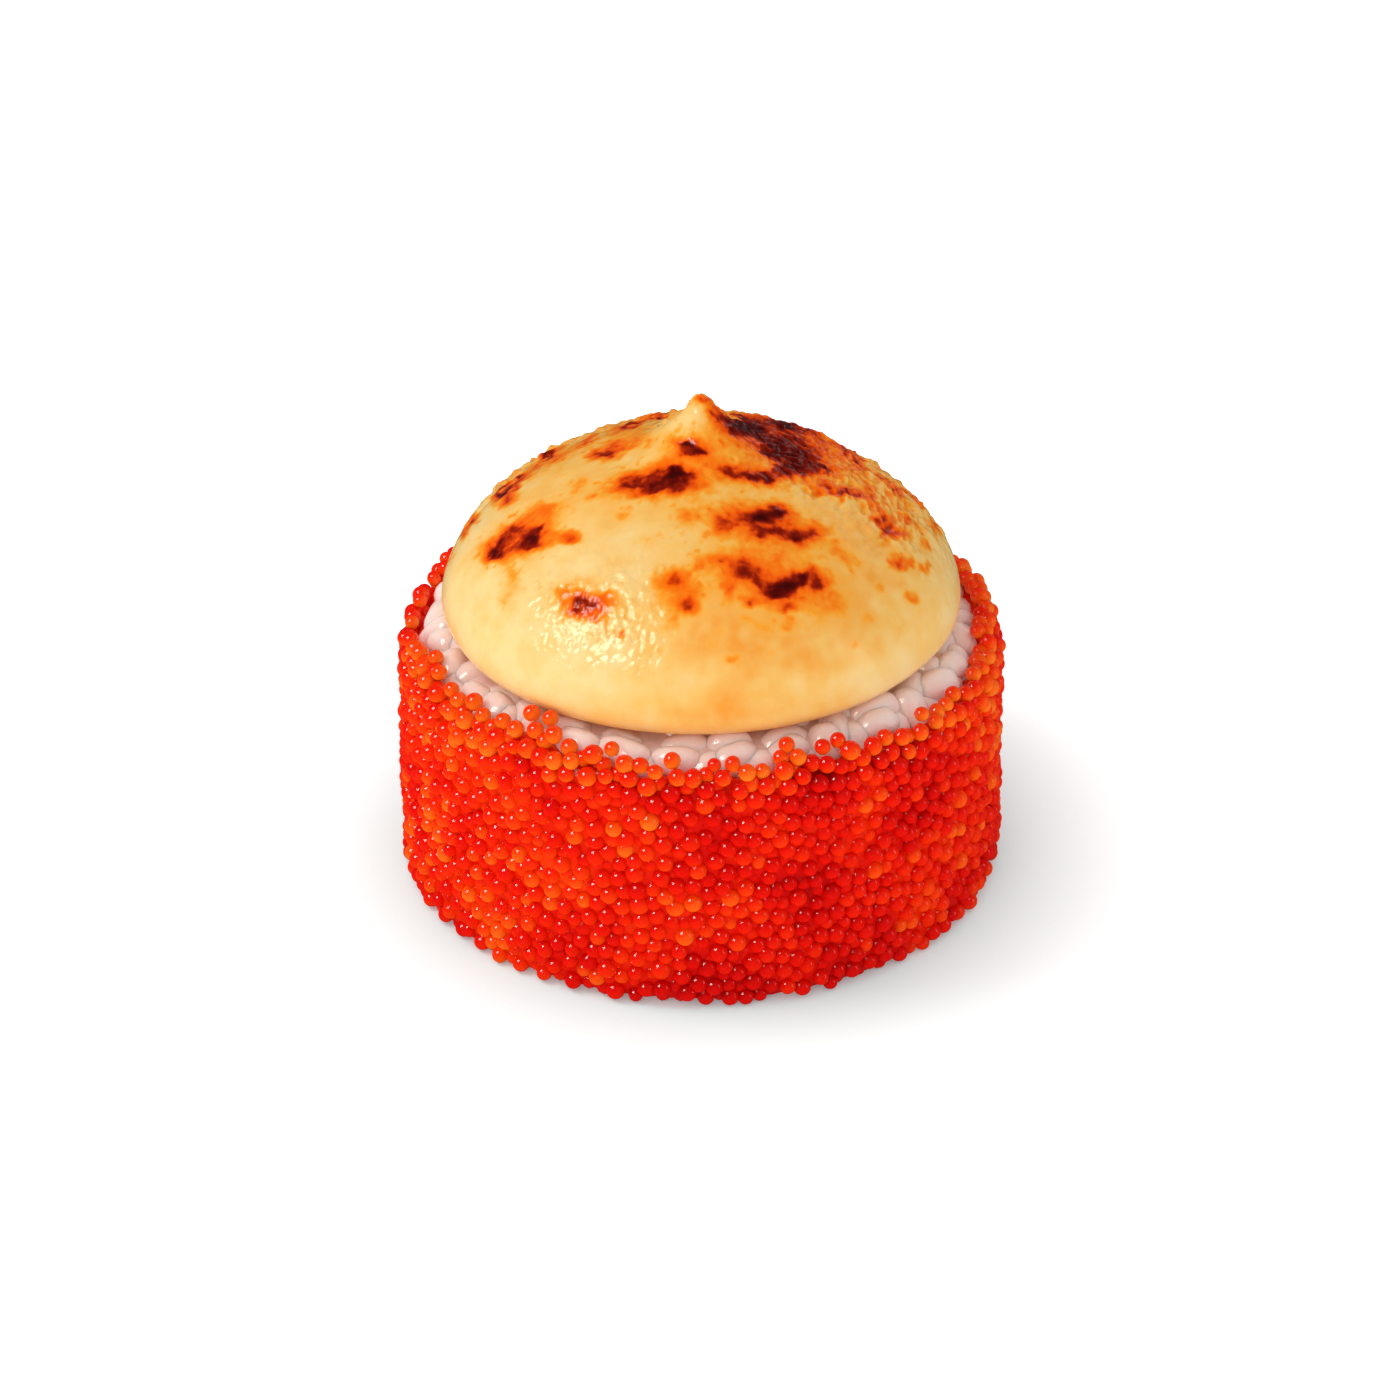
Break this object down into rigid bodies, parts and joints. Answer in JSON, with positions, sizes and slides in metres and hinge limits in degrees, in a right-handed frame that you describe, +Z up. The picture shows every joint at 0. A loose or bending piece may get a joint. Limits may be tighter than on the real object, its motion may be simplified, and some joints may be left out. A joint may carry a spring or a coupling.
{
  "type": "roe-coated sushi piece with seared cheese cap",
  "caption": "Round one-bite piece of sushi: a drum of pressed rice coated in red fish roe, under a torched dome of cheese sauce that ends in a soft peak.",
  "frame": {"origin": "centre of the drum's flat foot, on the surface it stands on", "axes": "+Z up along the drum's axis to the tip, -Y to the front as pictured"},
  "size_m": [0.0507, 0.0507, 0.0408],
  "materials": {
    "rice": "moist short-grain rice, faintly glossy, tinted pink by the roe",
    "roe": "wet translucent red and orange eggs",
    "cheese": "smooth cream-yellow sauce, torched to amber, brown and black in patches"
  },
  "bodies": {
    "root": {"rice": "rice", "roe_coat": "roe", "cheese_cap": "cheese"}
  },
  "joints": []
}
